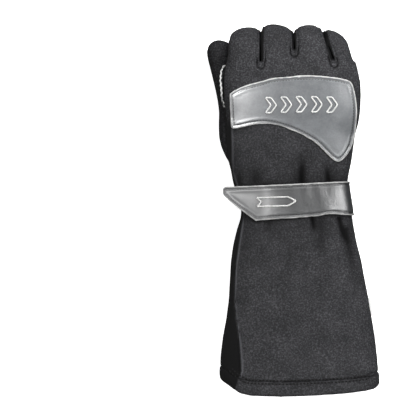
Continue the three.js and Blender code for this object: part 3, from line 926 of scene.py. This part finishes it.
def curve_through(line, closed, sharp):
    """A smooth curve through the corners of a line, as fine points beside the line's own."""
    steps, passes = 8, 10
    line = np.asarray(line, float)
    count = len(line)
    straight, curved = [], []
    for i in range(count if closed else count - 1):
        a, b = line[i], line[(i + 1) % count]
        before = line[i - 1] if closed or i else a
        after = line[(i + 2) % count] if closed or i + 2 < count else b
        leave = np.zeros(2) if i in sharp else (b - before) / 2
        arrive = np.zeros(2) if (i + 1) % count in sharp else (after - a) / 2
        if i in sharp:
            leave = b - a - arrive / 2
        if (i + 1) % count in sharp:
            arrive = b - a - leave / 2
        for t in np.linspace(0, 1, steps, endpoint=False):
            straight.append(a + (b - a) * t)
            curved.append(
                (2 * t**3 - 3 * t**2 + 1) * a
                + (t**3 - 2 * t**2 + t) * leave
                + (3 * t**2 - 2 * t**3) * b
                + (t**3 - t**2) * arrive
            )
    if not closed:
        straight.append(line[-1])
        curved.append(line[-1])
    curved = np.array(curved)
    fixed = np.zeros(len(curved), bool)
    fixed[[steps * i for i in sharp]] = True
    if not closed:
        fixed[[0, -1]] = True
    for _ in range(passes):
        curved = np.where(fixed[:, None], curved, softened(curved))
    return np.array(straight), curved


def follow_curve(points, line, closed, sharp, outset):
    """Moves a plate's rim from its cornered outline to the smooth curve, and sideways by outset."""
    straight, curved = curve_through(line, closed, sharp)
    curved = inset_line(curved, outset, closed)
    spots = points[:, :2] * PER_METRE
    gap, share = distance_to_line(spots, straight, closed)
    moves = curved - straight
    if closed:
        straight, moves = looped(straight), looped(moves)
    at = lengths_along(straight)
    at /= at[-1]
    fade = 1 - smoothstep(0.5, 6.0, gap)
    moved = points.copy()
    for i in range(2):
        moved[:, i] += np.interp(share, at, moves[:, i]) * fade * MM
    return moved


def resampled(line, step, closed=False):
    """Points at even steps along a line, with its corners slightly rounded."""
    passes = 2
    line = np.asarray(line, float)
    if closed:
        line = looped(line)
    at = lengths_along(line)
    count = max(2, int(round(at[-1] / step)))
    spots = np.linspace(0, at[-1], count + 1)
    points = np.stack([np.interp(spots, at, line[:, i]) for i in range(line.shape[1])], axis=1)
    if closed:
        points = points[:-1]
    for _ in range(passes):
        middle = softened(points)
        if not closed:
            middle[0], middle[-1] = points[0], points[-1]
        points = middle
    return points


def inset_line(points, distance, closed=False):
    """A line moved sideways, to the right of its direction where distance is positive."""
    if closed:
        ahead = np.roll(points, -1, axis=0) - np.roll(points, 1, axis=0)
    else:
        ahead = np.gradient(points, axis=0)
    ahead /= np.maximum(np.linalg.norm(ahead, axis=1), 1e-9)[:, None]
    return points + np.stack([ahead[:, 1], -ahead[:, 0]], axis=1) * distance


def tree_of(*pieces):
    """A search tree of the faces of finished pieces."""
    corners, faces = [], []
    for piece in pieces:
        offset = len(corners)
        corners += [v.co.copy() for v in piece.data.vertices]
        faces += [tuple(v + offset for v in p.vertices) for p in piece.data.polygons]
    return BVHTree.FromPolygons(corners, faces)


def dropped(tree, spots, start=0.09, direction=(0, 0, -1)):
    """Points in plan, in millimetres, dropped onto a piece: each hit and its normal, or None."""
    found = []
    for x, y in spots:
        hit, normal, _, _ = tree.ray_cast(Vector((x * MM, y * MM, start)), Vector(direction))
        found.append(None if hit is None else (np.array(hit), np.array(normal)))
    return found


def stitch_mesh(name, rows, length, gap, width, material, slot, height=0.55, sink=0.3):
    """Sews stitches along rows of surface points: one small rounded bar for each stitch.

    A stitch is height times its width high, and lies with a share of its height sunk in.
    """
    roundness, fewest_points = 0.7, 3
    clear_selection()
    bpy.ops.mesh.primitive_uv_sphere_add(segments=6, ring_count=5, radius=0.5)
    bar = bpy.context.object
    shape = points_of(bar)
    shape = np.stack([shape[:, 2], shape[:, 0], shape[:, 1]], axis=1)
    shape[:, 0] = np.sign(shape[:, 0]) * np.abs(shape[:, 0] * 2) ** roundness / 2
    faces = [tuple(p.vertices) for p in bar.data.polygons]
    delete_piece(bar)
    corners, polygons = [], []
    for row in rows:
        run = []
        for item in row + [None]:
            if item is not None:
                run.append(item)
                continue
            if len(run) >= fewest_points:
                add_stitches(run, length, gap, width, height, sink, shape, faces, corners, polygons)
            run = []
    mesh = bpy.data.meshes.new(name)
    mesh.from_pydata([tuple(c) for c in np.concatenate(corners)], [], polygons)
    mesh.update()
    piece = linked(name, mesh)
    finish_piece(piece, material, slot)
    return piece


def placed_at(length, at, rows):
    return np.array([np.interp(length, at, rows[:, k]) for k in range(3)])


def add_stitches(run, length, gap, width, height, sink, shape, faces, corners, polygons):
    """Places stitches evenly along one unbroken run of surface points and their normals."""
    points = np.array([r[0] for r in run])
    normals = np.array([r[1] for r in run])
    at = lengths_along(points)
    count = max(1, int(at[-1] / (length + gap)))
    for i in range(count):
        first = (i + 0.5 * gap / (length + gap)) * at[-1] / count
        last = first + at[-1] / count * length / (length + gap)
        a = placed_at(first, at, points)
        b = placed_at(last, at, points)
        up = placed_at((first + last) / 2, at, normals)
        ahead = b - a
        reach = np.linalg.norm(ahead)
        if reach < 1e-6:
            continue
        ahead /= reach
        up -= ahead * (up @ ahead)
        up /= max(np.linalg.norm(up), 1e-9)
        side = np.cross(up, ahead)
        middle = (a + b) / 2 + up * width * height * (0.5 - sink)
        placed = (
            middle
            + shape[:, :1] * ahead * reach
            + shape[:, 1:2] * side * width
            + shape[:, 2:3] * up * width * height
        )
        offset = sum(len(c) for c in corners)
        corners.append(placed)
        polygons.extend(tuple(v + offset for v in face) for face in faces)


# How far the palm leather's edge stands in or out beside the thumb, at places along the glove
EDGE_FLARE = np.array(
    [
        (97.3, 4.5), (104.3, 0.5), (111.3, -1.3), (123.3, -2.0), (129.3, -2.8), (137.3, -2.3),
        (144.3, -1.4),
    ]
)


def beside_thumb(spots):
    """Whether points of the palm leather are on its side towards the thumb."""
    return (spots[:, 0] < -48) & (spots[:, 2] > 12)


def flare_edge(piece, distance):
    """Lets the edge of the palm leather stand off beside the thumb, in a slight wave."""
    points = points_of(piece)
    spots = points * PER_METRE
    move = np.interp(spots[:, 1], EDGE_FLARE[:, 0], EDGE_FLARE[:, 1])
    move += 0.35 * np.sin(spots[:, 1] * 1.3)
    points[:, 0] += move * beside_thumb(spots) * (1 - smoothstep(0.5, 6.0, distance)) * MM
    set_points(piece, points)


def sew_edge(piece, distance, normals, strength):
    """Marks the pale cut edge, presses the stitched channel into the leather and marks it for its
    painted shade.
    """
    channel_width, channel_depth = 0.55, 0.00035
    ridge_offset, ridge_width, ridge_height = 2.2, 1.6, 0.0002
    edge_width = sizes().raw_edge * PER_METRE
    inset = sizes().stitch_inset * PER_METRE
    wobble = 0.22 * wave_noise(points_of(piece) * PER_METRE, 6, 3)
    cut = 1 - smoothstep(edge_width - 0.25, edge_width + 0.25, distance + wobble)
    channel = np.exp(-(((distance - inset) / channel_width) ** 2))
    points = points_of(piece)
    points = points - normals * (channel * channel_depth)[:, None]
    lift = np.exp(-(((distance - inset - ridge_offset) / ridge_width) ** 2)) * ridge_height
    points = points + normals * lift[:, None]
    set_points(piece, points)
    attribute(piece, "cut_edge", cut * strength)
    attribute(piece, "channel", np.clip(channel * 1.1, 0, 0.9))


def rim_distance(node, spots):
    """Distance in millimetres from the points of a leather piece to its edge."""
    if node in OUTLINES:
        line, closed, sharp, _, offset = OUTLINES[node]
        rim = inset_line(curve_through(line, closed, sharp)[1], offset, closed)
        return distance_to_line(spots[:, :2], rim, closed)[0]
    beside, _ = distance_to_line(spots[:, 1:], LEATHER_SIDE)
    below, _ = distance_to_line(spots[:, :2], LEATHER_PALM, closed=True)
    return np.where(beside_thumb(spots), beside, below)


def leather_piece(node, material):
    """A leather piece from its CAD solid: a smooth outline, calm faces and a cut, stitched edge."""
    strap = node == "wrist_strap"
    piece = merged_copy("leather_" + node, [node])
    remesh(piece, sizes().leather_detail)
    points = ease(points_of(piece))
    if node in OUTLINES:
        points = follow_curve(points, *OUTLINES[node][:4])
    set_points(piece, points)
    smooth(piece, 8)
    spots = points_of(piece) * PER_METRE
    distance = rim_distance(node, spots)
    calm_faces(piece, 320 if strap else 160, distance)
    if node == "palm_leather":
        flare_edge(piece, distance)
    attribute(piece, "worn", (1 - smoothstep(-42, -30, spots[:, 0])) * strap)
    sew_edge(piece, distance, normals_of(piece), 0.5 if strap else 1.0)
    finish_piece(piece, material, "leather", node)
    return piece


# Stage

FLOOR_SIZE = 8.0
FLOOR_GAP = 0.0004
LIGHT_AIM = (0, 0.02, 0.03)

# Each light's place, width, length and watts, and whether it shows in glossy surfaces only
LIGHTS = {
    "softbox_over": ((0.2, 0.8, 0.75), 0.7, 0.5, 14, False),
    "softbox_near": ((0.2, -0.95, 0.8), 0.6, 0.4, 6, False),
    "softbox_right": ((0.8, 0.0, 0.9), 0.4, 0.9, 4.5, False),
    "strip_left": ((-0.75, 0.1, 0.85), 0.2, 0.7, 54, True),
    "strip_right": ((0.85, 0.1, 0.8), 0.25, 0.7, 16, True),
}

# The camera looks straight down from far off, at a picture of this width and middle
PICTURE_WIDTH = 0.416
PICTURE_MIDDLE = (-0.0922, 0.0023)
GLOVE_MIDDLE = 0.03
CAMERA_DISTANCE = 12.0
SENSOR_WIDTH = 36


def make_floor():
    bpy.ops.mesh.primitive_plane_add(size=FLOOR_SIZE, location=(0, 0, -FLOOR_GAP))
    floor = bpy.context.object
    floor.name = "studio_floor"
    floor.data.transform(floor.matrix_world)
    floor.matrix_world = Matrix.Identity(4)
    floor.data.materials.append(floor_material())
    floor.visible_diffuse = False
    floor.visible_glossy = False


def make_lights():
    scene = bpy.context.scene
    world = bpy.data.worlds.new("studio_air")
    world.use_nodes = True
    world.node_tree.nodes["Background"].inputs["Color"].default_value = grey(1.0)
    world.node_tree.nodes["Background"].inputs["Strength"].default_value = 0.1
    scene.world = world
    scene.view_settings.view_transform = "Standard"
    scene.view_settings.look = "None"
    for name, (place, width, length, watts, gloss_only) in LIGHTS.items():
        data = bpy.data.lights.new(name, "AREA")
        data.shape = "RECTANGLE"
        data.size = width
        data.size_y = length
        data.energy = watts
        light = linked(name, data)
        light.location = place
        aim = Vector(LIGHT_AIM) - Vector(place)
        light.rotation_euler = aim.to_track_quat("-Z", "Y").to_euler()
        light.visible_diffuse = not gloss_only


def make_camera():
    data = bpy.data.cameras.new("camera_above")
    data.sensor_width = SENSOR_WIDTH
    data.lens = SENSOR_WIDTH * CAMERA_DISTANCE / PICTURE_WIDTH
    data.clip_end = 50
    camera = linked("camera_above", data)
    camera.location = (*PICTURE_MIDDLE, CAMERA_DISTANCE + GLOVE_MIDDLE)
    camera.rotation_euler = (0, 0, 0)
    bpy.context.scene.camera = camera


class GLOVE_OT_knit(bpy.types.Operator):
    """Makes the knit panels, gussets, thumb and hem from the CAD solids"""

    bl_idname = "glove.knit"
    bl_label = "Knit panels"

    def execute(self, context):
        knit = knit_material("brushed_knit", 1.0)
        # The thumb takes a darker copy of the knit: painted shade
        thumb = knit_material("brushed_knit_thumb_shaded", 0.62)
        passes, swell, gusset_swell = 5, 0.0006, 0.0003
        for node in KNIT_NODES:
            gusset = node in GUSSET_NODES
            detail = sizes().knit_detail * (0.5 if gusset else 1)
            piece = knit_piece(node, detail, passes, gusset_swell if gusset else swell)
            finish_piece(piece, thumb if node == "thumb_panel" else knit, "knit", node)
        return {"FINISHED"}


class GLOVE_OT_leather(bpy.types.Operator):
    """Makes the leather patch, strap and palm piece from the CAD solids"""

    bl_idname = "glove.leather"
    bl_label = "Leather pieces"

    def execute(self, context):
        soft = leather_material("coated_leather_patch", 0.62)
        # The strap and the palm leather take a darker copy of the same leather: painted shade
        shaded_leather = leather_material("coated_leather_strap_shaded", 0.12)
        dark = thread_material("bonded_dark_thread", colours().thread_dark, 0.6)
        white = thread_material("satin_white_thread", colours().thread_white, 0.5)
        trees = {}
        curves = {}
        for node in LEATHER_NODES:
            trees[node] = tree_of(leather_piece(node, soft if node == "knuckle_patch" else shaded_leather))
            if node in OUTLINES:
                curves[node] = curve_through(*OUTLINES[node][:3])[1]
        inset = sizes().stitch_inset * PER_METRE
        stitch = sizes().stitch_length
        thread = sizes().thread_width
        space, step = 0.0007, 0.8
        row = resampled(curves["knuckle_patch"], step, closed=True)
        row = inset_line(row, inset, closed=True)
        row = dropped(trees["knuckle_patch"], looped(row))
        stitch_mesh("stitches_patch", [row], stitch, space, thread, dark, "leather")
        row = inset_line(resampled(curves["wrist_strap"], step), -inset)
        row = dropped(trees["wrist_strap"], row)
        stitch_mesh("stitches_strap", [row], stitch, space, thread, dark, "leather")
        # Thick white thread whose stitches touch, and which stands proud of the leather
        length, width, height, sink = 0.0014, 0.0019, 0.7, -0.1
        rows = [dropped(trees["knuckle_patch"], r) for r in patch_ornament()]
        stitch_mesh("ornament_patch", rows, length, 0.0, width, white, "label", height, sink)
        rows = [dropped(trees["wrist_strap"], r) for r in strap_ornament()]
        stitch_mesh("ornament_strap", rows, length, 0.0, width, white, "label", height, sink)
        return {"FINISHED"}


class GLOVE_OT_hem_stitches(bpy.types.Operator):
    """Sews two rows of stitches round the hem, above and below"""

    bl_idname = "glove.hem_stitches"
    bl_label = "Hem stitches"

    def execute(self, context):
        dark = thread_material("spun_hem_thread", colours().thread_hem, 0.9)
        panels = [bpy.data.objects["knit_" + n] for n in ("cuff_hem", "back_panel", "palm_panel")]
        tree = tree_of(*panels)
        line = resampled(MOUTH, 0.8)
        length, space, width, height = 0.0021, 0.0014, 0.0016, 0.5
        rows = []
        for reach in HEM_ROWS:
            row = inset_line(line, -reach)
            rows.append(dropped(tree, row))
            rows.append(dropped(tree, row, start=-0.02, direction=(0, 0, 1)))
        piece = stitch_mesh("stitches_hem", rows, length, space, width, dark, "knit", height)
        points = points_of(piece)
        points[:, 2] = np.maximum(points[:, 2], 0.0)
        set_points(piece, points)
        return {"FINISHED"}


class GLOVE_OT_label(bpy.types.Operator):
    """Makes the sewn-in label"""

    bl_idname = "glove.label"
    bl_label = "Side label"

    def execute(self, context):
        piece = merged_copy("woven_side_label", ["side_label"])
        remesh(piece, 0.0004)
        smooth(piece, 2)
        finish_piece(piece, tape_material(), "label", "side_label")
        return {"FINISHED"}


class GLOVE_OT_stage(bpy.types.Operator):
    """Makes the floor, lights, world and camera"""

    bl_idname = "glove.stage"
    bl_label = "Stage"

    def execute(self, context):
        make_floor()
        make_lights()
        make_camera()
        return {"FINISHED"}


class GLOVE_PT_panel(bpy.types.Panel):
    """Lists the steps and the values in the sidebar."""

    bl_idname = "GLOVE_PT_panel"
    bl_label = "Glove"
    bl_space_type = "VIEW_3D"
    bl_region_type = "UI"
    bl_category = "Glove"

    def draw(self, context):
        for group in (sizes(), colours()):
            for name in group.bl_rna.properties.keys():
                if name not in ("rna_type", "name"):
                    self.layout.prop(group, name)
        for operator in OPERATORS:
            self.layout.operator(operator.bl_idname)


OPERATORS = [GLOVE_OT_stage, GLOVE_OT_knit, GLOVE_OT_hem_stitches, GLOVE_OT_leather, GLOVE_OT_label]
CLASSES = [GLOVE_PG_sizes, GLOVE_PG_colours, *OPERATORS, GLOVE_PT_panel]


def register():
    for item in CLASSES:
        bpy.utils.register_class(item)
    bpy.types.Scene.glove_sizes = bpy.props.PointerProperty(type=GLOVE_PG_sizes)
    bpy.types.Scene.glove_colours = bpy.props.PointerProperty(type=GLOVE_PG_colours)


def unregister():
    del bpy.types.Scene.glove_colours
    del bpy.types.Scene.glove_sizes
    for item in reversed(CLASSES):
        bpy.utils.unregister_class(item)


def main():
    register()
    steps = bpy.ops.glove
    for step in (steps.stage, steps.knit, steps.hem_stitches, steps.leather, steps.label):
        step()


if __name__ == "__main__":
    main()
